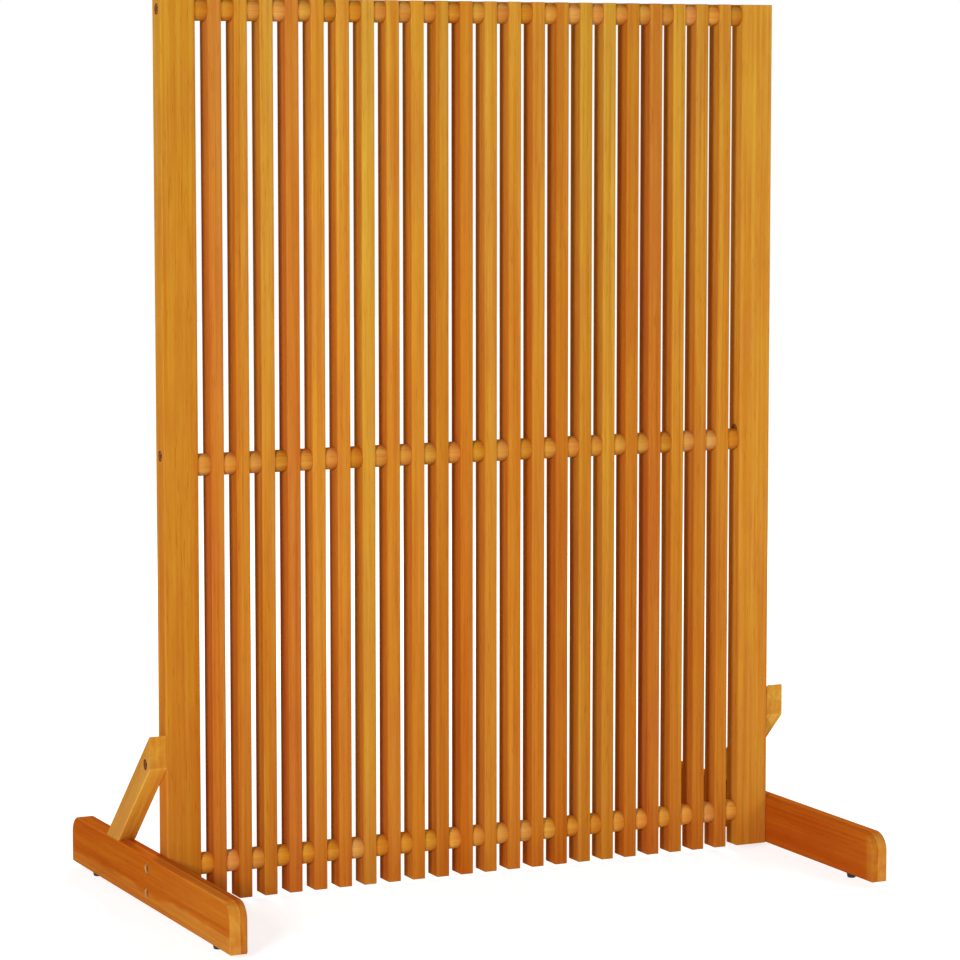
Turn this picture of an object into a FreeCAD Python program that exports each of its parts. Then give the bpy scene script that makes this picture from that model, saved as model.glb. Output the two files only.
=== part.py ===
import FreeCAD, Part
import math
import os

# Garden privacy screen: upright slats and turned spacers strung on steel tie rods between two
# posts, standing on two foot boards, each with a diagonal brace behind the panel.
# Millimetres. +Z is up and +X runs along the panel, seen from the front. The braces stand on
# the +Y side. The origin is on the floor, below the middle of the screen.

# ---- the panel ----
slat_count = 22
slat_width = 23.0
slat_depth = 38.0  # front to back, the posts are as deep
slat_height = 1490.0
slat_edge = 1.2  # eased long edges
spacer_length = 22.3  # the clear gap between two slats
spacer_diameter = 37.0
middle_row_rise = 728.0  # axis of the middle spacers above the lower ends of the slats
post_width = 59.75
post_edge = 1.5

# ---- the feet and their braces ----
foot_length = 750.0
foot_height = 82.0
foot_thickness = 30.8
foot_corner = 30.0  # radius of both upper corners
foot_edge = 2.0
foot_bolt_inset = 20.2  # both bolts of a foot, from its lower and its upper edge
brace_width = 41.0
brace_angle = 43.4  # degrees above the horizontal
brace_rise = 203.0  # upper tip above the top of the foot
brace_screw_drop = 49.0  # below the upper tip
brace_edge = 1.2

# ---- the glides ----
glide_height = 10.0
glide_top_diameter = 18.5
glide_sole_diameter = 14.5
glide_rim = 1.5
glide_inset = 89.0  # from each end of the foot board to the glide's axis
pin_diameter = 3.2
pin_in_glide = 5.0
pin_in_foot = 20.0

# ---- tie rods and fasteners ----
rod_diameter = 8.0
head_diameter = 16.0
head_thickness = 3.5
sleeve_diameter = 11.0
sleeve_length = 22.0
rod_grip = 15.0  # rod length held inside a sleeve nut
middle_rod_bite = 18.0  # rod length let into each post at the middle row
shank_diameter = 7.0
shank_bite = 36.0  # length of a shank inside the post
heel_head_diameter = 11.0  # the screw that comes up through the foot into the brace's heel
heel_head_thickness = 3.0
heel_shank_diameter = 5.0
heel_bore_depth = 36.0
heel_bite = 28.0

# ---- clearances ----
rod_clearance = 0.4  # all of these are added to a radius
sleeve_clearance = 0.3
head_clearance = 1.2
shank_clearance = 0.05
thread_clearance = 0.1
bore_end_gap = 1.0  # from the end of a rod, sleeve, shank or pin to the bottom of its bore
post_head_sink = 1.0  # from the wood's face down to the bolt head
foot_head_sink = 3.0
brace_head_sink = 1.5

# ---- derived places ----
panel_half = (slat_count * slat_width + (slat_count + 1) * spacer_length) / 2
post_outer = panel_half + post_width
foot_outer = post_outer + foot_thickness
foot_middle = post_outer + foot_thickness / 2
pitch = slat_width + spacer_length
slat_foot = glide_height  # slats, posts and foot boards share one lower level
foot_top = slat_foot + foot_height
half_depth = slat_depth / 2
upper_row = slat_foot + slat_height - spacer_diameter / 2  # flush with the slats' tops
middle_row = slat_foot + middle_row_rise
lower_row = foot_top - foot_bolt_inset  # its rod is also the upper bolt of both feet
post_bolt_level = slat_foot + slat_height / 2
foot_bolt_level = slat_foot + foot_bolt_inset
brace_top = foot_top + brace_rise
brace_slope = math.tan(math.radians(brace_angle))
brace_nose = brace_width / math.cos(math.radians(brace_angle))  # height of its front cut
brace_screw_level = brace_top - brace_screw_drop
brace_heel_front = (brace_rise - brace_nose) / brace_slope - half_depth
brace_heel_back = brace_rise / brace_slope - half_depth
heel_screw_y = (brace_heel_front + brace_heel_back - heel_bite / brace_slope) / 2
glide_y = foot_length / 2 - glide_inset


def point(x, y, z):
    return FreeCAD.Vector(x, y, z)


def bar_x(diameter, start, end, z):
    """A round bar along X in the middle plane of the panel."""
    return Part.makeCylinder(diameter / 2, end - start, point(start, 0, z), point(1, 0, 0))


def bar_z(diameter, start, end, x, y):
    """A round bar along Z."""
    return Part.makeCylinder(diameter / 2, end - start, point(x, y, start))


def widened(diameter, clearance):
    return diameter + 2 * clearance


def mirrored(shape):
    """The same piece on the other side of the panel."""
    return shape.mirror(point(0, 0, 0), point(1, 0, 0))


def save(name, shape):
    shape.exportStep("parts/" + name + ".step")


def save_pair(name, right_piece):
    """One node for each side of the screen."""
    save(name + "_right", right_piece)
    save(name + "_left", mirrored(right_piece))


def save_both(name, right_piece):
    """One node that holds the same fastener on both sides."""
    save(name, Part.makeCompound([mirrored(right_piece), right_piece]))


def edges_along(shape, direction):
    """The straight edges of a shape that run in one direction."""
    found = []
    for edge in shape.Edges:
        if edge.Curve.TypeId != "Part::GeomLine":
            continue
        if abs(edge.tangentAt(edge.FirstParameter).dot(direction)) > 0.999:
            found.append(edge)
    return found


def upright(start, width, edge):
    """A slat or post from start along X, with its four long edges eased."""
    board = Part.makeBox(width, slat_depth, slat_height, point(start, -half_depth, slat_foot))
    return board.makeChamfer(edge, edges_along(board, point(0, 0, 1)))


def rod_bore(start, end, z):
    return bar_x(widened(rod_diameter, rod_clearance), start, end, z)


def slat(index):
    """One slat, drilled for the three tie rods."""
    start = -panel_half + spacer_length + index * pitch
    end = start + slat_width
    bores = [rod_bore(start, end, z) for z in (upper_row, middle_row, lower_row)]
    return upright(start, slat_width, slat_edge).cut(bores)


def spacer_row(z):
    """The drilled spacers of one row, one in each gap between the uprights."""
    spacers = []
    for index in range(slat_count + 1):
        start = -panel_half + index * pitch
        end = start + spacer_length
        spacers.append(bar_x(spacer_diameter, start, end, z).cut(rod_bore(start, end, z)))
    return Part.makeCompound(spacers)


def sleeve_end(face, sink):
    """Where the sleeve of a nut ends, inwards from the wood's outer face."""
    return face - sink - head_thickness - sleeve_length


def sleeve_nut(face, sink, z):
    """A round-headed nut whose sleeve takes the end of a tie rod."""
    seat = face - sink - head_thickness
    inner = sleeve_end(face, sink)
    head = bar_x(head_diameter, seat, seat + head_thickness, z)
    sleeve = bar_x(sleeve_diameter, inner, seat, z)
    thread = bar_x(widened(rod_diameter, thread_clearance), inner, inner + rod_grip + bore_end_gap, z)
    return head.fuse(sleeve).removeSplitter().cut(thread)


def counterbore(face, sink, z):
    """The round recess that a bolt head or nut head sits in, below a face."""
    return bar_x(widened(head_diameter, head_clearance), face - sink - head_thickness, face, z)


def nut_bore(face, sink, z):
    sleeve = widened(sleeve_diameter, sleeve_clearance)
    hole = bar_x(sleeve, sleeve_end(face, sink) - bore_end_gap, face, z)
    return counterbore(face, sink, z).fuse(hole)


def tie_rod(end, z):
    return bar_x(rod_diameter, -end, end, z)


def nutted_rod(face, sink, z):
    """A tie rod that ends inside the sleeve nuts on both sides."""
    return tie_rod(sleeve_end(face, sink) + rod_grip, z)


def bolt(face, sink, z):
    """A round-headed bolt driven from a face until its shank bites in the post."""
    seat = face - sink - head_thickness
    head = bar_x(head_diameter, seat, seat + head_thickness, z)
    shank = bar_x(shank_diameter, post_outer - shank_bite, seat, z)
    return head.fuse(shank).removeSplitter()


def bolt_bore(face, sink, z):
    shank = widened(shank_diameter, shank_clearance)
    hole = bar_x(shank, post_outer - shank_bite - bore_end_gap, face, z)
    return counterbore(face, sink, z).fuse(hole)


def post_bolt(make):
    return make(post_outer, post_head_sink, post_bolt_level)


def foot_bolt(make):
    return make(foot_outer, foot_head_sink, foot_bolt_level)


def brace_screw(make):
    return make(foot_outer, brace_head_sink, brace_screw_level)


def upper_nut(make):
    return make(post_outer, post_head_sink, upper_row)


def lower_nut(make):
    return make(foot_outer, foot_head_sink, lower_row)


def post():
    """The right post, with the bores for the tie rods and for the bolts that end in it."""
    board = upright(panel_half, post_width, post_edge)
    middle_bore_end = panel_half + middle_rod_bite + bore_end_gap
    bores = [
        rod_bore(panel_half, post_outer, upper_row),
        rod_bore(panel_half, middle_bore_end, middle_row),
        rod_bore(panel_half, post_outer, lower_row),
        upper_nut(nut_bore),
        lower_nut(nut_bore),
        post_bolt(bolt_bore),
        foot_bolt(bolt_bore),
        brace_screw(bolt_bore),
    ]
    return board.cut(bores)


def foot_outline():
    """Side view of the foot board: square below, both upper corners round."""
    end = foot_length / 2
    turn = end - foot_corner
    shoulder = foot_top - foot_corner
    reach = foot_corner * math.sin(math.radians(45))
    x = post_outer

    def corner(side):
        return [
            point(x, side * end, shoulder),
            point(x, side * (turn + reach), shoulder + reach),
            point(x, side * turn, foot_top),
        ]

    front, back = corner(-1), corner(1)
    toe, heel = point(x, -end, slat_foot), point(x, end, slat_foot)
    return Part.Wire(
        [
            Part.LineSegment(toe, front[0]).toShape(),
            Part.Arc(*front).toShape(),
            Part.LineSegment(front[2], back[2]).toShape(),
            Part.Arc(*reversed(back)).toShape(),
            Part.LineSegment(back[0], heel).toShape(),
            Part.LineSegment(heel, toe).toShape(),
        ]
    )


def foot():
    """The right foot board, eased all round both faces, with its bores."""
    board = Part.Face(foot_outline()).extrude(point(foot_thickness, 0, 0))
    rims = []
    for face in board.Faces:
        if abs(face.normalAt(0, 0).x) > 0.999:
            rims.extend(face.Edges)
    board = board.makeChamfer(foot_edge, rims)
    bores = [
        rod_bore(post_outer, foot_outer, lower_row),
        lower_nut(nut_bore),
        foot_bolt(bolt_bore),
        heel_screw_bore(),
        pin_bore(glide_y),
        pin_bore(-glide_y),
    ]
    return board.cut(bores)


def brace():
    """The right brace: cut upright at the front and level where it stands on the foot."""
    outline = [
        point(post_outer, -half_depth, brace_top),
        point(post_outer, -half_depth, brace_top - brace_nose),
        point(post_outer, brace_heel_front, foot_top),
        point(post_outer, brace_heel_back, foot_top),
    ]
    profile = Part.Face(Part.makePolygon(outline + outline[:1]))
    board = profile.extrude(point(foot_thickness, 0, 0))
    slant = (outline[3] - outline[0]).normalize()
    board = board.makeChamfer(brace_edge, edges_along(board, slant))
    return board.cut([brace_screw(bolt_bore), heel_screw_bore()])


def heel_screw():
    """The screw that comes up through the foot board and holds the heel of the brace."""
    seat = slat_foot + heel_bore_depth
    underside = seat - heel_head_thickness
    head = bar_z(heel_head_diameter, underside, seat, foot_middle, heel_screw_y)
    shank = bar_z(heel_shank_diameter, seat, foot_top + heel_bite, foot_middle, heel_screw_y)
    return head.fuse(shank).removeSplitter()


def heel_screw_bore():
    """Its deep counterbore from below and the hole for its shank."""
    seat = slat_foot + heel_bore_depth
    end = foot_top + heel_bite + bore_end_gap
    head = widened(heel_head_diameter, head_clearance)
    shank = widened(heel_shank_diameter, shank_clearance)
    recess = bar_z(head, slat_foot, seat, foot_middle, heel_screw_y)
    return recess.fuse(bar_z(shank, seat, end, foot_middle, heel_screw_y))


def glide_pin(y):
    """The steel pin that holds a glide under the foot."""
    return bar_z(pin_diameter, slat_foot - pin_in_glide, slat_foot + pin_in_foot, foot_middle, y)


def pin_bore(y):
    """The pin's bore, open into both the glide and the foot board."""
    return bar_z(
        widened(pin_diameter, shank_clearance),
        slat_foot - pin_in_glide - bore_end_gap,
        slat_foot + pin_in_foot + bore_end_gap,
        foot_middle,
        y,
    )


def glide(y):
    """A tapered glide, widest against the foot board, with a rounded rim at its sole."""
    body = Part.makeCone(
        glide_sole_diameter / 2, glide_top_diameter / 2, glide_height, point(foot_middle, y, 0)
    )
    sole_rim = [
        edge
        for edge in body.Edges
        if edge.Curve.TypeId == "Part::GeomCircle" and edge.BoundBox.ZMax < glide_rim
    ]
    return body.makeFillet(glide_rim, sole_rim).cut(pin_bore(y))


os.makedirs("parts", exist_ok=True)

for number in range(slat_count):
    save("slat_%02d" % (number + 1), slat(number))
save("upper_spacers", spacer_row(upper_row))
save("middle_spacers", spacer_row(middle_row))
save("lower_spacers", spacer_row(lower_row))
save_pair("post", post())

save("upper_tie_rod", upper_nut(nutted_rod))
save("middle_tie_rod", tie_rod(panel_half + middle_rod_bite, middle_row))
save("lower_tie_rod", lower_nut(nutted_rod))
save_both("upper_rod_nuts", upper_nut(sleeve_nut))
save_both("lower_rod_nuts", lower_nut(sleeve_nut))
save_both("post_bolts", post_bolt(bolt))

save_pair("foot", foot())
save_pair("brace", brace())
save_both("foot_bolts", foot_bolt(bolt))
save_both("brace_screws", brace_screw(bolt))
save_both("brace_heel_screws", heel_screw())

save_pair("glide_front", glide(-glide_y))
save_pair("glide_rear", glide(glide_y))
save_both("glide_pins", Part.makeCompound([glide_pin(-glide_y), glide_pin(glide_y)]))
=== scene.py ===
import math
import bmesh
import bpy
import numpy as np
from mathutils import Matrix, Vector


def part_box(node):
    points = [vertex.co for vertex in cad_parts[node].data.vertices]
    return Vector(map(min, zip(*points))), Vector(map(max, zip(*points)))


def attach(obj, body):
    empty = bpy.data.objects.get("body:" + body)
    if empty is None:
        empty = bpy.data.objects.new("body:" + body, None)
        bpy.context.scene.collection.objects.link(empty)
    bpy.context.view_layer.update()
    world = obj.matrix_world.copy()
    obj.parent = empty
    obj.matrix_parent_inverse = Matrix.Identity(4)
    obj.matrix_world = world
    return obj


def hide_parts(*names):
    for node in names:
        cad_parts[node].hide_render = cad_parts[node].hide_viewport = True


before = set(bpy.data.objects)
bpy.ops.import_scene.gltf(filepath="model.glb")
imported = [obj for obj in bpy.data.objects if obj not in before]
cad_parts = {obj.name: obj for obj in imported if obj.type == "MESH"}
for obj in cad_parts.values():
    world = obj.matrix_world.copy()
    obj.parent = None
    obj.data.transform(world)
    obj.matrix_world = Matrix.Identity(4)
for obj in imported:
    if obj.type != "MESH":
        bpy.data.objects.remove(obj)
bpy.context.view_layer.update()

# ---- Slats ----
# Twenty-two hardwood boards, planed, eased along their edges and sawn square at both ends.
# They are oiled, not painted, so each keeps the tone of the plank that it came from. All are
# threaded on three steel rods.
slat_names = sorted(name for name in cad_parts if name.startswith("slat_"))
slat_edge_radius = 0.0013
oiled_tones = {  # linear colours of the planks
    "ochre": (0.578, 0.278, 0.028),
    "honey": (0.566, 0.253, 0.026),
    "amber": (0.546, 0.221, 0.022),
    "russet": (0.524, 0.185, 0.017),
    "rose": (0.522, 0.195, 0.026),
    "tawny": (0.530, 0.212, 0.017),
    "pale": (0.640, 0.345, 0.080),
    "cream": (0.625, 0.318, 0.053),
    "straw": (0.600, 0.300, 0.056),
    "red": (0.500, 0.130, 0.010),
}
slat_tones = (
    "rose amber honey rose honey honey ochre amber ochre amber russet "
    "ochre honey amber russet honey ochre russet rose honey amber honey"
).split()


def closed_grid(rows, columns):
    """The quads of a grid of points whose last column meets its first."""
    row, column = np.mgrid[0:rows - 1, 0:columns]
    here = row * columns + column
    beside = row * columns + (column + 1) % columns
    return np.stack([here, beside, beside + columns, here + columns], -1).reshape(-1, 4)


def rounded_board(low, high, radius, steps=4):
    """A board with rounded edges, as a small sphere cut in eight and moved to its corners.

    The two parameters are the turn round the upright axis and the climb from pole to pole. A
    point is the inner corner on its side plus the radius along (cos climb cos turn, cos climb
    sin turn, sin climb). Both poles spread into flat ends.
    """
    quarter = np.linspace(0.0, math.pi / 2, steps + 1)
    turn = np.concatenate([quarter + k * math.pi / 2 for k in range(4)])
    climb = np.concatenate([quarter - math.pi / 2, quarter])
    side_x = np.repeat([1.0, -1.0, -1.0, 1.0], steps + 1)
    side_y = np.repeat([1.0, 1.0, -1.0, -1.0], steps + 1)
    side_z = np.repeat([-1.0, 1.0], steps + 1)
    low, high = np.array(low), np.array(high)
    centre, inner = (low + high) / 2, (high - low) / 2 - radius
    around, up = np.meshgrid(turn, climb)
    shape = around.shape
    x = centre[0] + inner[0] * np.broadcast_to(side_x, shape) + radius * np.cos(up) * np.cos(around)
    y = centre[1] + inner[1] * np.broadcast_to(side_y, shape) + radius * np.cos(up) * np.sin(around)
    z = centre[2] + inner[2] * side_z[:, None] + radius * np.sin(up)
    columns = len(turn)
    corners = np.arange(4) * (steps + 1)
    ends = np.array([corners, corners + (len(climb) - 1) * columns])
    faces = np.concatenate([closed_grid(len(climb), columns), ends])
    return np.stack([x, y, z], -1).reshape(-1, 3), faces


def finished_piece(name, points, faces, material, nodes, sharp=40.0, marks=None):
    """A piece in place of some CAD nodes: doubles merged, faces outwards, edges shaded by angle."""
    mesh = bpy.data.meshes.new(name)
    mesh.from_pydata(points.tolist(), [], [list(face) for face in faces])
    for mark, values in (marks or {}).items():
        layer = mesh.attributes.new(mark, "FLOAT_VECTOR", "POINT")
        layer.data.foreach_set("vector", np.broadcast_to(values, points.shape).astype(float).ravel())
    shell = bmesh.new()
    shell.from_mesh(mesh)
    bmesh.ops.remove_doubles(shell, verts=shell.verts, dist=1e-6)
    bmesh.ops.dissolve_degenerate(shell, edges=shell.edges, dist=1e-7)
    bmesh.ops.recalc_face_normals(shell, faces=shell.faces)
    shell.to_mesh(mesh)
    shell.free()
    mesh.shade_smooth()
    mesh.set_sharp_from_angle(angle=math.radians(sharp))
    mesh.materials.append(material)
    piece = bpy.data.objects.new(name, mesh)
    bpy.context.scene.collection.objects.link(piece)
    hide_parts(*nodes)
    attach(piece, "root")
    return piece


def shader_node(tree, kind, inputs=None, **settings):
    """Adds a node, sets its properties, and fills its sockets with values or with links."""
    made = tree.nodes.new(kind)
    for setting, value in settings.items():
        setattr(made, setting, value)
    for socket, value in (inputs or {}).items():
        if isinstance(value, bpy.types.NodeSocket):
            tree.links.new(value, made.inputs[socket])
        else:
            made.inputs[socket].default_value = value
    return made


def new_material(name):
    """A new material, with its node tree and its Principled shader."""
    material = bpy.data.materials.new(name)
    material.use_nodes = True
    return material, material.node_tree, material.node_tree.nodes["Principled BSDF"]


def stretched_noise(tree, vector, across, along, detail):
    """Noise with so many features a metre across the grain, and so many along it."""
    stretch = shader_node(tree, "ShaderNodeMapping", {"Vector": vector, "Scale": (across, across, along)})
    sockets = {"Vector": stretch.outputs["Vector"], "Scale": 1.0, "Detail": detail, "Roughness": 0.55}
    return shader_node(tree, "ShaderNodeTexNoise", sockets).outputs["Fac"]


def remapped(tree, value, start, end, low=0.0, high=1.0):
    """A value between start and end, spread smoothly over low to high."""
    sockets = {"Value": value, "From Min": start, "From Max": end, "To Min": low, "To Max": high}
    made = shader_node(tree, "ShaderNodeMapRange", sockets, interpolation_type="SMOOTHSTEP")
    return made.outputs["Result"]


def grain_mask(tree, vector, across, along, start, full, detail=2.0):
    """A mask from stretched noise: 0 where the noise is below start, and 1 where it is above full."""
    return remapped(tree, stretched_noise(tree, vector, across, along, detail), start, full)


def worked_out(tree, operation, first, second=0.0):
    """The result of a mathematical operation on one or two values."""
    return shader_node(tree, "ShaderNodeMath", {0: first, 1: second}, operation=operation).outputs["Value"]


def tinted(tree, factor, colour, tint, blend="MULTIPLY"):
    """The colour multiplied by a tint, or mixed with it, by as much as the factor says."""
    colour_a, colour_b, colour_out = 6, 7, 2  # the places of the Mix node's colour sockets
    ends = [end if isinstance(end, bpy.types.NodeSocket) else (*end, 1.0) for end in (colour, tint)]
    sockets = {0: factor, colour_a: ends[0], colour_b: ends[1]}
    mix = shader_node(tree, "ShaderNodeMix", sockets, data_type="RGBA", blend_type=blend)
    return mix.outputs[colour_out]


def hardwood_group():
    """Oiled hardwood with its grain along Z: a plank's tone, figure, streaks, fibres and pores."""
    group = bpy.data.node_groups.new("oiled_hardwood", "ShaderNodeTree")
    inputs = {"Vector": "Vector", "Tone": "Color", "Figure": "Float", "Streaks": "Float", "Mottle": "Float"}
    outputs = {"Colour": "Color", "Roughness": "Float", "Height": "Float"}
    for way, sockets in (("INPUT", inputs), ("OUTPUT", outputs)):
        for name, kind in sockets.items():
            group.interface.new_socket(name, in_out=way, socket_type="NodeSocket" + kind)
    given = group.nodes.new("NodeGroupInput").outputs
    place = given["Vector"]

    # Growth rings round a pith that lies outside the board, met at a slant by the saw.
    ring_waver = 0.030
    ring_rate = 640.0  # radians to the metre, so the rings lie about 10 mm apart
    bend = stretched_noise(group, place, across=14.0, along=1.1, detail=3.0)
    apart = shader_node(group, "ShaderNodeSeparateXYZ", {"Vector": place}).outputs
    flat = shader_node(group, "ShaderNodeCombineXYZ", {"X": apart["X"], "Y": apart["Y"]}).outputs["Vector"]
    ring_radius = shader_node(group, "ShaderNodeVectorMath", {0: flat}, operation="LENGTH").outputs["Value"]
    ring_radius = worked_out(group, "ADD", ring_radius, worked_out(group, "MULTIPLY", bend, ring_waver))
    ring = worked_out(group, "SINE", worked_out(group, "MULTIPLY", ring_radius, ring_rate))
    late_wood = remapped(group, ring, 0.2, 1.0)

    broad = grain_mask(group, place, across=60.0, along=0.8, start=0.36, full=0.64)
    patch = grain_mask(group, place, across=30.0, along=4.5, start=0.40, full=0.62)
    mottle = grain_mask(group, place, across=70.0, along=9.0, start=0.40, full=0.66, detail=3.0)
    streak = grain_mask(group, place, across=210.0, along=2.6, start=0.46, full=0.68)
    pale_streak = grain_mask(group, place, across=130.0, along=1.9, start=0.50, full=0.70)
    pores = grain_mask(group, place, across=420.0, along=26.0, start=0.62, full=0.74, detail=1.0)
    fibre = stretched_noise(group, place, across=800.0, along=22.0, detail=2.0)

    layers = (  # a mask, how strongly it shows, and the tint that it brings
        (broad, 0.85, (0.92, 0.76, 0.62)),
        (patch, 0.70, (0.94, 0.85, 1.10)),
        (mottle, given["Mottle"], (1.04, 1.15, 1.20)),
        (streak, given["Streaks"], (0.88, 0.70, 0.52)),
        (pale_streak, given["Streaks"], (1.07, 1.18, 1.35)),
        (late_wood, given["Figure"], (0.88, 0.72, 0.55)),
        (remapped(group, fibre, 0.45, 0.75), 0.35, (0.90, 0.82, 0.74)),
        (pores, given["Mottle"], (0.83, 0.68, 0.53)),
    )
    colour = given["Tone"]
    for mask, strength, tint in layers:
        colour = tinted(group, worked_out(group, "MULTIPLY", mask, strength), colour, tint)

    gloss = remapped(group, fibre, 0.3, 0.7, low=0.42, high=0.56)
    fibre_height, ring_hollow = 0.6, 0.15
    relief = worked_out(group, "SUBTRACT", worked_out(group, "MULTIPLY", fibre, fibre_height), pores)
    relief = worked_out(group, "SUBTRACT", relief, worked_out(group, "MULTIPLY", late_wood, ring_hollow))
    shader_node(group, "NodeGroupOutput", {"Colour": colour, "Roughness": gloss, "Height": relief})
    return group


hardwood = hardwood_group()


def oiled_wood(name, figure, streaks, grain_turn=(0.0, 0.0, 0.0), stain_and_painted_light=None, sawn=None):
    """A satin oiled finish. grain_turn turns the grain of the piece onto Z.

    The function for stains and painted light, if given, takes the node tree, the place and the
    tone. It returns the tone with what sets one part of the board apart from another: its own
    stains, and painted light and shade. sawn, if given, is a function of the tree and the place.
    It returns a mask of the sawn ends, where the mottle is faint.
    """
    mottle, sawn_mottle, sawn_streaks = 0.6, 0.15, 0.1
    relief = 0.00018
    material, tree, surface = new_material(name)
    where = shader_node(tree, "ShaderNodeTexCoord").outputs["Object"]
    shift = shader_node(tree, "ShaderNodeAttribute", attribute_name="plank").outputs["Vector"]
    tone = shader_node(tree, "ShaderNodeAttribute", attribute_name="tone").outputs["Vector"]
    # the board's own stains together with painted light and shade
    if stain_and_painted_light:
        tone = stain_and_painted_light(tree, where, tone)
    turned = shader_node(tree, "ShaderNodeMapping", {"Vector": where, "Rotation": grain_turn})
    sockets = {0: turned.outputs["Vector"], 1: shift}
    place = shader_node(tree, "ShaderNodeVectorMath", sockets, operation="ADD").outputs["Vector"]
    sockets = {"Vector": place, "Tone": tone, "Figure": figure, "Streaks": streaks, "Mottle": mottle}
    if sawn:
        ends = sawn(tree, where)
        sockets["Mottle"] = remapped(tree, ends, 0.0, 1.0, mottle, sawn_mottle)
        sockets["Streaks"] = remapped(tree, ends, 0.0, 1.0, streaks, sawn_streaks)
    wood = shader_node(tree, "ShaderNodeGroup", sockets, node_tree=hardwood)
    bump = shader_node(tree, "ShaderNodeBump", {"Height": wood.outputs["Height"], "Distance": relief})
    tree.links.new(wood.outputs["Colour"], surface.inputs["Base Color"])
    tree.links.new(wood.outputs["Roughness"], surface.inputs["Roughness"])
    tree.links.new(bump.outputs["Normal"], surface.inputs["Normal"])
    surface.inputs["IOR"].default_value = 1.45
    surface.inputs["Specular IOR Level"].default_value = 0.0
    return material


slat_front, slat_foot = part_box("slat_01")[0][1:]


def painted_height_light(tree, where, tone):
    """Painted light and shade by height: paler toward the top, redder toward the floor, and painted shade
    at the lower end.
    """
    painted_upper_light, redder, painted_end_shade = (0.98, 1.12, 1.22), (0.97, 0.87, 0.90), (0.86, 0.74, 0.70)
    painted_end_height = 0.11
    height = shader_node(tree, "ShaderNodeSeparateXYZ", {"Vector": where}).outputs["Z"]
    # painted light toward the top, painted shade toward the floor and at the lower end
    tone = tinted(tree, remapped(tree, height, start=0.8, end=1.5), tone, painted_upper_light)
    tone = tinted(tree, remapped(tree, height, start=1.2, end=0.2), tone, redder)
    return tinted(tree, remapped(tree, height, slat_foot + painted_end_height, slat_foot), tone, painted_end_shade)


def slat_gap_shade(tree, where, tone):
    """Painted shade on the sides of a slat in the gaps and on its back, darker than its lit front, then the
    painted light and shade by height.
    """
    # painted shade on everything behind the front face
    shaded = (0.91, 0.79, 0.80)
    shade_start, shade_full = slat_front + 0.0005, slat_front + 0.006
    depth = shader_node(tree, "ShaderNodeSeparateXYZ", {"Vector": where}).outputs["Y"]
    behind = remapped(tree, depth, shade_start, shade_full)
    return painted_height_light(tree, where, tinted(tree, behind, tone, shaded))


slat_wood = oiled_wood("slat_wood", figure=0.30, streaks=0.50, stain_and_painted_light=slat_gap_shade)
planks = np.random.default_rng(41)


def plank_marks(tone, spread=0.04):
    """What sets one plank apart: its own tone, and where in the log it was sawn."""
    colour = np.array(oiled_tones[tone]) * (1.0 + planks.uniform(-spread, spread, 3))
    # How far from the pith, to the side and to the front, and where along the log.
    pith = [planks.uniform(0.04, 0.12), planks.uniform(0.03, 0.12), planks.uniform(-9.0, 9.0)]
    return {"tone": colour, "plank": np.array(pith)}


for name, tone in zip(slat_names, slat_tones):
    points, faces = rounded_board(*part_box(name), slat_edge_radius)
    finished_piece(name + "_board", points, faces, slat_wood, [name], marks=plank_marks(tone))

# ---- Posts ----
# Two wider boards of the same depth close the panel. Their outer faces are counterbored for
# the upper rod's nut and for a bolt at mid height, so the drilled solid gives their shape.
post_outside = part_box("post_right")[1][0]
# painted shade inside the counterbores of the posts and braces
painted_recess_shade = (0.20, 0.075, 0.022)


def outward_of(tree, where):
    """How far a place lies from the middle of the screen, to the left or to the right."""
    across = shader_node(tree, "ShaderNodeSeparateXYZ", {"Vector": where}).outputs["X"]
    return worked_out(tree, "ABSOLUTE", across)


def painted_counterbores(tree, where, tone, outside, levels, wood):
    """Inside the counterbores of the outer face, at these levels, the wood takes the given colour: painted
    shade in the posts and braces, painted light on the walls in the feet.
    """
    mask_radius, mask_fade = 0.0094, 0.0004  # just wider than the counterbores
    under_face, well_under = outside - 0.0003, outside - 0.0006
    inward = remapped(tree, outward_of(tree, where), under_face, well_under)
    across = shader_node(tree, "ShaderNodeMapping", {"Vector": where, "Scale": (0.0, 1.0, 1.0)})
    for level in levels:
        sockets = {0: across.outputs["Vector"], 1: (0.0, 0.0, level)}
        away = shader_node(tree, "ShaderNodeVectorMath", sockets, operation="DISTANCE").outputs["Value"]
        near = remapped(tree, away, mask_radius + mask_fade, mask_radius)
        tone = tinted(tree, worked_out(tree, "MULTIPLY", inward, near), tone, wood, "MIX")
    return tone


def middle_level(node):
    """How high the middle of a node is."""
    low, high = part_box(node)
    return (low[2] + high[2]) / 2


def post_painted_light(tree, where, tone):
    """Painted light on the outer side, then the painted light and shade by height, and painted shade in the
    counterbores.
    """
    # painted light on the outer side, which the lamps barely reach
    paler = (1.14, 1.20, 1.60)
    outer_start, outer_full = post_outside - 0.0016, post_outside - 0.0003
    outer = remapped(tree, outward_of(tree, where), outer_start, outer_full)
    tone = tinted(tree, outer, tone, paler)
    levels = (middle_level("upper_rod_nuts"), middle_level("post_bolts"))
    return painted_counterbores(tree, where, painted_height_light(tree, where, tone), post_outside, levels, painted_recess_shade)


post_wood = oiled_wood("post_wood", figure=0.25, streaks=0.40, stain_and_painted_light=post_painted_light)


def node_points(node):
    """The vertices of a CAD node, one row of X, Y and Z for each."""
    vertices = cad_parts[node].data.vertices
    points = np.empty(len(vertices) * 3)
    vertices.foreach_get("co", points)
    return points.reshape(-1, 3)


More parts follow.
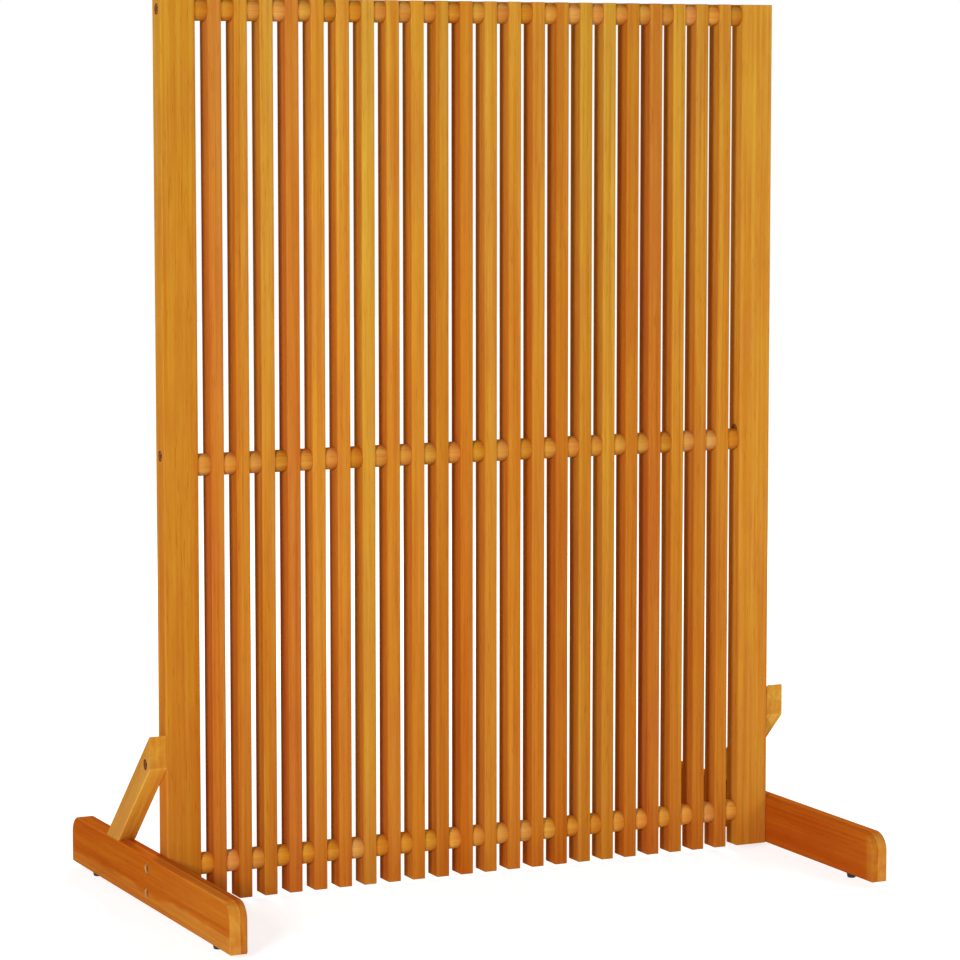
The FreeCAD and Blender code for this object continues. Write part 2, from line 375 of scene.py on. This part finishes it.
def drilled_piece(node, material, marks):
    """The node's own surface, merged, with flat faces kept flat and eased edges shaded round."""
    flat_within = math.radians(0.5)
    faces = [list(face.vertices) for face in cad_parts[node].data.polygons]
    piece = finished_piece(node + "_board", node_points(node), faces, material, [node],
                           sharp=50.0, marks=marks)
    shell = bmesh.new()
    shell.from_mesh(piece.data)
    bmesh.ops.dissolve_limit(shell, angle_limit=flat_within, verts=shell.verts, edges=shell.edges)
    shell.to_mesh(piece.data)
    shell.free()
    weighted = piece.modifiers.new("weighted", "WEIGHTED_NORMAL")
    weighted.keep_sharp = True


drilled_piece("post_left", post_wood, plank_marks("tawny"))
drilled_piece("post_right", post_wood, plank_marks("ochre"))

# ---- Spacers ----
# Sixty-nine short lengths of turned rod, drilled through and threaded between the slats in
# three rows. They are cut from offcuts, so their tones differ more than those of the slats.
spacer_wood = oiled_wood("spacer_wood", grain_turn=(0.0, math.pi / 2, 0.0), figure=0.15, streaks=0.25)
spacer_rim = 0.0007
spacer_bore = 0.0044
spacer_choices = ["pale", "cream", "cream", "ochre", "honey", "cream"]
# Each row's tone is scaled as painted light and shade: the upper rows a little darker, the lower row, which
# the lamps reach least, lighter.
spacer_rows = {"upper_spacers": 0.95, "middle_spacers": 0.98, "lower_spacers": 1.12}  # how light each is
# The ends of each spacer are painted darker: painted shade where the slats meet and shade them.
painted_end_width = 0.0045  # how far the painted shade reaches in from each end
painted_end_tint = (0.84, 0.58, 0.40)


def turned_x(profile, centre, segments=56):
    """A profile of (place along X, radius) turned about X, one ring of points for each place."""
    angle = np.linspace(0.0, 2 * math.pi, segments, endpoint=False)
    along, radius = np.array(profile).T
    x = centre[0] + np.repeat(along[:, None], segments, 1)
    y = centre[1] + radius[:, None] * np.cos(angle)
    z = centre[2] + radius[:, None] * np.sin(angle)
    return np.stack([x, y, z], -1).reshape(-1, 3), closed_grid(len(along), segments)


def spacer_profile(length, radius):
    """From the bore out over one end, along the side, and back in: both rims are quarter rounds.

    The rings that lie the width of the painted end shade from an end carry the edge of that painted shade.
    """
    turn = np.linspace(0.0, math.pi / 2, 4)
    out = radius - spacer_rim + spacer_rim * np.sin(turn)
    start = -length / 2 + spacer_rim * (1 - np.cos(turn))
    first = np.stack([start, out], -1)
    first = np.concatenate([first, [[-length / 2 + painted_end_width, radius]]])
    last = np.stack([-start, out], -1)[::-1]
    bore = np.array([[-length / 2, spacer_bore]])
    return np.concatenate([bore, first, last, bore * [-1, 1], bore])


slat_boxes = [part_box(name) for name in slat_names]
gap_edges = [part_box("post_left")[1][0]]
for low, high in slat_boxes:
    gap_edges += [low[0], high[0]]
gap_edges.append(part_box("post_right")[0][0])
gaps = list(zip(gap_edges[0::2], gap_edges[1::2]))

for row, painted_row_light in spacer_rows.items():
    low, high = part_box(row)
    level = middle_level(row)
    radius = (high[2] - low[2]) / 2
    points, faces, tones, shifts = [], [], [], []
    for start, end in gaps:
        ring, quads = turned_x(spacer_profile(end - start, radius), ((start + end) / 2, 0.0, level))
        marks = plank_marks(spacer_choices[planks.integers(len(spacer_choices))], spread=0.06)
        faces.append(quads + sum(len(done) for done in points))
        points.append(ring)
        # painted shade toward each end of a spacer, and the row's painted light
        from_end = np.minimum(ring[:, 0] - start, end - ring[:, 0])
        painted_end_shade = np.clip(1.0 - from_end / painted_end_width, 0.0, 1.0)[:, None]
        tones.append(marks["tone"] * painted_row_light * (1.0 - painted_end_shade + painted_end_shade * np.array(painted_end_tint)))
        shifts.append(np.broadcast_to(marks["plank"], ring.shape))
    marks = {"tone": np.concatenate(tones), "plank": np.concatenate(shifts)}
    finished_piece(row + "_turned", np.concatenate(points), np.concatenate(faces), spacer_wood,
                   [row], marks=marks)

# ---- Feet and braces ----
# A board on edge stands outside each post, its upper corners rounded and all its edges eased.
# A brace of the same stock rises from it to the post, cut upright in front and level below.
foot_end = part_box("foot_left")[1][1]
foot_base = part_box("foot_left")[0][2]
foot_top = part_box("foot_left")[1][2]
brace_slope = math.radians(43.4)
brace_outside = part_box("brace_right")[1][0]
# painted light on the counterbore walls of the feet
painted_recess_light = (0.66, 0.36, 0.11)
growth_line = 0.5822  # how far from the middle of the screen a dark ring shows in the feet


def foot_ends(tree, where):
    """1 on the sawn ends of a foot, and on their worn edges."""
    worn_start, worn_full = foot_end - 0.022, foot_end - 0.008
    along = shader_node(tree, "ShaderNodeSeparateXYZ", {"Vector": where}).outputs["Y"]
    return remapped(tree, worked_out(tree, "ABSOLUTE", along), worn_start, worn_full)


def foot_stain_and_painted_light(tree, where, tone):
    """Sapwood low on the outer face, a dark ring, paler sawn ends with worn edges that are partly painted
    light, and painted light toward the front, on the left top and in the counterbores.
    """
    apart = shader_node(tree, "ShaderNodeSeparateXYZ", {"Vector": where}).outputs
    outward = outward_of(tree, where)
    outer_start, outer_full = brace_outside - 0.0016, brace_outside - 0.0004

    # painted light: paler toward the front end, which faces the lamps
    painted_front_light = (1.06, 1.24, 1.5)
    tone = tinted(tree, remapped(tree, apart["Y"], start=0.1, end=-foot_end), tone, painted_front_light)

    sapwood_tint, sapwood_wave = (1.12, 1.50, 2.4), 0.030
    sapwood_edge, sapwood_full = 0.044, 0.036  # heights above the lower edge of the foot
    wave = stretched_noise(tree, where, across=9.0, along=30.0, detail=2.0)
    wave = worked_out(tree, "MULTIPLY", wave, sapwood_wave)
    rise = worked_out(tree, "ADD", worked_out(tree, "SUBTRACT", apart["Z"], foot_base), wave)
    outer = remapped(tree, outward, outer_start, outer_full)
    sapwood = worked_out(tree, "MULTIPLY", remapped(tree, rise, sapwood_edge, sapwood_full), outer)
    tone = tinted(tree, sapwood, tone, sapwood_tint)

    # paler sawn ends with worn edges, partly painted light on the end faces that face the lamps
    end_light_and_wear = (1.10, 1.62, 2.4)
    inner = remapped(tree, outward, outer_full, outer_start)
    tone = tinted(tree, worked_out(tree, "MULTIPLY", foot_ends(tree, where), inner), tone, end_light_and_wear)

    heartwood_tint, ring_tint = (0.84, 0.67, 0.56), (0.80, 0.55, 0.40)
    ring_waver, ring_fade, line_edge, line_core = 0.003, 0.001, 0.0013, 0.0004
    drift = stretched_noise(tree, where, across=30.0, along=30.0, detail=1.0)
    ring = worked_out(tree, "ADD", outward, worked_out(tree, "MULTIPLY", drift, ring_waver))
    heartwood = remapped(tree, ring, growth_line, growth_line - ring_fade)
    tone = tinted(tree, heartwood, tone, heartwood_tint)
    from_line = worked_out(tree, "ABSOLUTE", worked_out(tree, "SUBTRACT", ring, growth_line))
    tone = tinted(tree, remapped(tree, from_line, line_edge, line_core), tone, ring_tint)

    # painted light on the top of the left foot
    painted_foot_top_light = (1.28, 1.48, 1.80)
    top_start, top_full = foot_top - 0.004, foot_top - 0.001
    left = remapped(tree, apart["X"], start=0.1, end=-0.1)
    top = remapped(tree, apart["Z"], top_start, top_full)
    tone = tinted(tree, worked_out(tree, "MULTIPLY", top, left), tone, painted_foot_top_light)

    levels = (middle_level("foot_bolts"), middle_level("lower_rod_nuts"))
    return painted_counterbores(tree, where, tone, brace_outside, levels, painted_recess_light)


def lowest_across(node, slope):
    """How far the underside of a sloping board lies below the origin, square to its slope."""
    _, y, z = node_points(node).T
    return float(np.max(-y * math.sin(slope) - z * math.cos(slope)))


brace_under = lowest_across("brace_left", brace_slope)


def brace_stain_and_painted_light(tree, where, tone):
    """Sapwood on the outer face only, painted light on the underside, and painted shade in the counterbore.
    """
    painted_under_light, heartwood_tint = (1.25, 1.38, 1.40), (0.98, 0.88, 0.50)
    # painted light on the underside
    under_start, under_full = brace_under - 0.0030, brace_under - 0.0010
    inner_start, inner_full = brace_outside - 0.0004, brace_outside - 0.0030
    square = (0.0, -math.sin(brace_slope), -math.cos(brace_slope))
    below = shader_node(tree, "ShaderNodeVectorMath", {0: where, 1: square}, operation="DOT_PRODUCT")
    under = remapped(tree, below.outputs["Value"], under_start, under_full)
    tone = tinted(tree, under, tone, painted_under_light)
    inner = remapped(tree, outward_of(tree, where), inner_start, inner_full)
    tone = tinted(tree, inner, tone, heartwood_tint)
    return painted_counterbores(tree, where, tone, brace_outside, (middle_level("brace_screws"),), painted_recess_shade)


foot_wood = oiled_wood("foot_wood", grain_turn=(math.pi / 2, 0.0, 0.0), figure=0.25, streaks=0.55,
                       stain_and_painted_light=foot_stain_and_painted_light, sawn=foot_ends)
brace_wood = oiled_wood("brace_wood", grain_turn=(math.pi / 2 + brace_slope, 0.0, 0.0),
                        figure=0.4, streaks=0.3, stain_and_painted_light=brace_stain_and_painted_light)
far_pith = 0.9070  # far enough for the rings to lie along the sides of a foot


def flat_sawn(tone, pith_away, along):
    """Marks of a board sawn far from the pith, so that its rings lie parallel to its faces."""
    return {"tone": np.array(oiled_tones[tone]), "plank": np.array([pith_away, 0.0, along])}


drilled_piece("foot_left", foot_wood, flat_sawn("red", far_pith, along=2.0))
drilled_piece("foot_right", foot_wood, flat_sawn("red", -far_pith, along=5.0))
drilled_piece("brace_left", brace_wood, plank_marks("straw"))
drilled_piece("brace_right", brace_wood, plank_marks("pale"))

# ---- Nuts, bolts and rods ----
# The panel is drawn together by steel rods with round-headed sleeve nuts. Feet and braces are
# bolted on. Every head is browned steel, has a hexagon socket, and sits below the wood's face.


def metal(name, colour, roughness, worn, edge):
    """Metal whose coating is rubbed thin in small patches, which are rougher too."""
    rougher, relief = 0.18, 0.00003
    material, tree, surface = new_material(name)
    where = shader_node(tree, "ShaderNodeTexCoord").outputs["Object"]
    sockets = {"Vector": where, "Scale": 420.0, "Detail": 4.0}
    grain = shader_node(tree, "ShaderNodeTexNoise", sockets).outputs["Fac"]
    rubbed = remapped(tree, grain, 0.56, 0.68)
    tree.links.new(tinted(tree, rubbed, colour, worn, "MIX"), surface.inputs["Base Color"])
    gloss = remapped(tree, grain, 0.3, 0.7, low=roughness, high=roughness + rougher)
    tree.links.new(gloss, surface.inputs["Roughness"])
    bump = shader_node(tree, "ShaderNodeBump", {"Height": grain, "Distance": relief})
    tree.links.new(bump.outputs["Normal"], surface.inputs["Normal"])
    surface.inputs["Metallic"].default_value = 1.0
    surface.inputs["Specular Tint"].default_value = (*edge, 1.0)
    return material


bolt_steel = metal("browned_steel", colour=(0.24, 0.100, 0.050), roughness=0.44,
                   worn=(0.56, 0.34, 0.22), edge=(0.46, 0.24, 0.14))
rod_steel = metal("zinc_plated_steel", colour=(0.56, 0.56, 0.57), roughness=0.30,
                  worn=(0.42, 0.42, 0.43), edge=(0.8, 0.8, 0.8))
head_radius = 0.008
head_thickness = 0.0035
head_round = 0.0012
socket_width = 0.0058
socket_depth = 0.0024
socket_chamfer = 0.0003
mouth_share = 1.12  # width of the socket's chamfered mouth, as a share of its width inside
drill_point = 0.0008  # depth of the hollow that the drill left in the bottom of the socket
point_share = 0.02
pole_radius = 0.0002  # radius of the small flat faces that close turned pieces at their poles
shank_radius = 0.0035
sleeve_radius = 0.0055
sleeve_length = 0.0255
bolt_bite = 0.036  # how far the bolts reach inward from the outer face of a post


def socket_head(face, centre, side, segments=48):
    """A round head with a hexagon socket, as rings that change from circles to hexagons.

    The parameters are the turn round the axis and the step from the seat over the rim into the
    socket. Each ring has a circle's radius, or the socket's half width over the cosine of the
    angle to the nearest flat.
    """
    turn = np.linspace(0.0, 2 * math.pi, segments, endpoint=False)
    from_flat = (turn + math.pi / 6) % (math.pi / 3) - math.pi / 6
    hexagon = socket_width / 2 / np.cos(from_flat)
    rim = np.linspace(0.0, math.pi / 2, 5)
    rings = [(-head_thickness, np.full(segments, head_radius))]
    for angle in rim:
        out = head_radius - head_round * (1 - math.cos(angle))
        rings.append((-head_round * (1 - math.sin(angle)), np.full(segments, out)))
    rings.append((0.0, hexagon * mouth_share))
    rings.append((-socket_chamfer, hexagon))
    rings.append((-socket_depth, hexagon))
    rings.append((-socket_depth - drill_point, hexagon * point_share))
    x = np.stack([np.full(segments, face + side * depth) for depth, _ in rings])
    y = np.stack([centre[1] + out * np.cos(turn) for _, out in rings])
    z = np.stack([centre[2] + out * np.sin(turn) for _, out in rings])
    points = np.stack([x, y, z], -1).reshape(-1, 3)
    caps = [list(range(segments)), list(range(len(points) - segments, len(points)))]
    return points, closed_grid(len(rings), segments).tolist() + caps


def bolt_pair(name, radius, inner_end):
    """A bolt or nut on each side of the screen, with its head at the outer end of the node.

    Its round shank reaches from under the head to inner_end, measured from the middle.
    """
    low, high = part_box(name)
    level = middle_level(name)
    points, faces = [], []
    for side, face in ((-1, low[0]), (1, high[0])):
        head, quads = socket_head(face, (0.0, 0.0, level), side)
        start = abs(face) - head_thickness
        middle = side * (start + inner_end) / 2
        half = abs(start - inner_end) / 2
        profile = [(-half, pole_radius), (-half, radius), (half, radius), (half, pole_radius)]
        shank, walls = turned_x(profile, (middle, 0.0, level), segments=32)
        for ring, cells in ((head, quads), (shank, walls.tolist())):
            first = sum(len(done) for done in points)
            faces += [[corner + first for corner in cell] for cell in cells]
            points.append(ring)
    finished_piece(name + "_heads", np.concatenate(points), faces, bolt_steel, [name])


for name in ("post_bolts", "foot_bolts", "brace_screws"):
    bolt_pair(name, shank_radius, post_outside - bolt_bite)
for name in ("upper_rod_nuts", "lower_rod_nuts"):
    bolt_pair(name, sleeve_radius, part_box(name)[1][0] - sleeve_length)

for name in ("upper_tie_rod", "middle_tie_rod", "lower_tie_rod", "glide_pins", "brace_heel_screws"):
    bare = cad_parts[name]
    bare.data.materials.clear()
    bare.data.materials.append(bolt_steel if name == "brace_heel_screws" else rod_steel)

# ---- Glides ----
# Four moulded black plastic glides keep the lower edges of the feet off wet ground. Each tapers
# to a rounded sole and is held by a steel pin.
glide_sole_radius = 0.00725
glide_sole_round = 0.0015
moulded_black, scuffed_black = (0.016, 0.016, 0.017), (0.040, 0.039, 0.038)
glide_plastic, glide_tree, glide_surface = new_material("black_plastic")
glide_where = shader_node(glide_tree, "ShaderNodeTexCoord").outputs["Object"]
sockets = {"Vector": glide_where, "Scale": 900.0, "Detail": 2.0}
moulding = shader_node(glide_tree, "ShaderNodeTexNoise", sockets).outputs["Fac"]
scuffed = remapped(glide_tree, moulding, 0.4, 0.75)
glide_colour = tinted(glide_tree, scuffed, moulded_black, scuffed_black, "MIX")
glide_gloss = remapped(glide_tree, moulding, 0.3, 0.7, low=0.45, high=0.62)
glide_tree.links.new(glide_colour, glide_surface.inputs["Base Color"])
glide_tree.links.new(glide_gloss, glide_surface.inputs["Roughness"])
glide_surface.inputs["Specular IOR Level"].default_value = 0.2


def turned_glide(node, segments=48):
    """A tapered plug turned about Z: flat top, straight flank, and a quarter round at the sole."""
    low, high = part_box(node)
    centre = [(a + b) / 2 for a, b in zip(low, high)]
    top_radius = (high[0] - low[0]) / 2
    turn = np.linspace(0.0, math.pi / 2, 5)
    rim = glide_sole_radius - glide_sole_round + glide_sole_round * np.sin(turn)
    rise = low[2] + glide_sole_round * (1 - np.cos(turn))
    radius = np.concatenate([[pole_radius], rim, [top_radius, pole_radius]])
    height = np.concatenate([[low[2]], rise, [high[2], high[2]]])
    angle = np.linspace(0.0, 2 * math.pi, segments, endpoint=False)
    x = centre[0] + radius[:, None] * np.cos(angle)
    y = centre[1] + radius[:, None] * np.sin(angle)
    z = np.repeat(height[:, None], segments, 1)
    points = np.stack([x, y, z], -1).reshape(-1, 3)
    ends = [list(range(segments)), list(range(len(points) - segments, len(points)))]
    faces = closed_grid(len(radius), segments).tolist() + ends
    finished_piece(node + "_moulding", points, faces, glide_plastic, [node])


for node in ("glide_front_left", "glide_front_right", "glide_rear_left", "glide_rear_right"):
    turned_glide(node)

# ---- Floor, light and camera ----
# A plain white studio: an even dome of light, a strong soft lamp in front and to the left, two
# weaker ones on the right and behind, and a floor that shows only faint contact shadows.
scene = bpy.context.scene
scene.view_settings.view_transform = "Standard"
studio_white = (1.0, 1.0, 1.0, 1.0)

floor_mesh = bpy.data.meshes.new("floor")
reach = 14.0
floor_corners = [(-reach, -reach, 0), (reach, -reach, 0), (reach, reach, 0), (-reach, reach, 0)]
floor_mesh.from_pydata(floor_corners, [], [(0, 1, 2, 3)])
floor = bpy.data.objects.new("floor", floor_mesh)
scene.collection.objects.link(floor)
floor_white, floor_tree, floor_surface = new_material("floor_white")
floor_surface.inputs["Base Color"].default_value = (0.85, 0.85, 0.85, 1.0)
floor_surface.inputs["Roughness"].default_value = 0.9
floor_surface.inputs["Specular IOR Level"].default_value = 0.0
floor_surface.inputs["Emission Color"].default_value = studio_white
# The floor also glows faintly in the light that it sends onto the screen: a painted glow that lights the
# undersides from below.
floor_surface.inputs["Emission Strength"].default_value = 0.20
floor_mesh.materials.append(floor_white)


def seen_directly(tree):
    """1 for rays from the camera, and for those that metal or glass sends on."""
    rays = shader_node(tree, "ShaderNodeLightPath").outputs
    seen = worked_out(tree, "MAXIMUM", rays["Is Camera Ray"], rays["Is Glossy Ray"])
    return worked_out(tree, "MAXIMUM", seen, rays["Is Transmission Ray"])


# Seen directly, the floor glows white far off. Near the screen it glows less and the lamps'
# light makes up the rest, so that shadows show there.
floor_where = shader_node(floor_tree, "ShaderNodeTexCoord").outputs["Object"]
from_middle = shader_node(floor_tree, "ShaderNodeVectorMath", {0: floor_where}, operation="LENGTH")
glow = remapped(floor_tree, from_middle.outputs["Value"], start=1.3, end=3.5, low=0.76, high=1.0)
paper_glow = shader_node(floor_tree, "ShaderNodeEmission", {"Color": glow})
paper_shade = shader_node(floor_tree, "ShaderNodeBsdfDiffuse", {"Color": (0.50, 0.50, 0.50, 1.0)})
sockets = {0: paper_glow.outputs[0], 1: paper_shade.outputs[0]}
paper = shader_node(floor_tree, "ShaderNodeAddShader", sockets)
sockets = {0: seen_directly(floor_tree), 1: floor_surface.outputs[0], 2: paper.outputs[0]}
floor_look = shader_node(floor_tree, "ShaderNodeMixShader", sockets)
floor_tree.links.new(floor_look.outputs[0], floor_tree.nodes["Material Output"].inputs["Surface"])

world = bpy.data.worlds.new("studio")
scene.world = world
world.use_nodes = True
sky = world.node_tree
sky.nodes.clear()
seen = seen_directly(sky)
dome = shader_node(sky, "ShaderNodeBackground", {"Color": studio_white, "Strength": 0.18})
white = shader_node(sky, "ShaderNodeBackground", {"Color": studio_white, "Strength": 1.0})
either = shader_node(sky, "ShaderNodeMixShader", {0: seen, 1: dome.outputs[0], 2: white.outputs[0]})
shader_node(sky, "ShaderNodeOutputWorld", {"Surface": either.outputs[0]})


def soft_lamp(name, place, target, size, power):
    """A square area lamp that faces the target."""
    light = bpy.data.lights.new(name, "AREA")
    light.shape = "SQUARE"
    light.size = size
    light.energy = power
    lamp = bpy.data.objects.new(name, light)
    scene.collection.objects.link(lamp)
    lamp.location = place
    aim = np.array(target) - np.array(place)
    lamp.rotation_euler = (
        math.atan2(math.hypot(aim[0], aim[1]), -aim[2]),
        0.0,
        math.atan2(aim[1], aim[0]) - math.pi / 2,
    )


soft_lamp("left_lamp", (-5.2, -5.2, 2.5), target=(0.0, 0.0, 0.8), size=1.7, power=455.0)
soft_lamp("right_lamp", (3.0, -2.6, 2.2), target=(0.0, 0.0, 0.9), size=2.0, power=45.0)
soft_lamp("rear_lamp", (1.8, 3.6, 2.9), target=(0.0, 0.0, 0.8), size=2.0, power=165.0)

camera_data = bpy.data.cameras.new("camera")
camera = bpy.data.objects.new("camera", camera_data)
scene.collection.objects.link(camera)
scene.camera = camera
camera_pitch = 5.546
camera_turn = 25.531
camera.location = (-2.52955, -5.31859, 1.34289)
camera.rotation_euler = (math.radians(90.0 - camera_pitch), 0.0, math.radians(-camera_turn))
camera_data.lens = 130.09
camera_data.sensor_width = 36.0
camera_data.shift_y = -0.05
camera_data.clip_end = 60.0
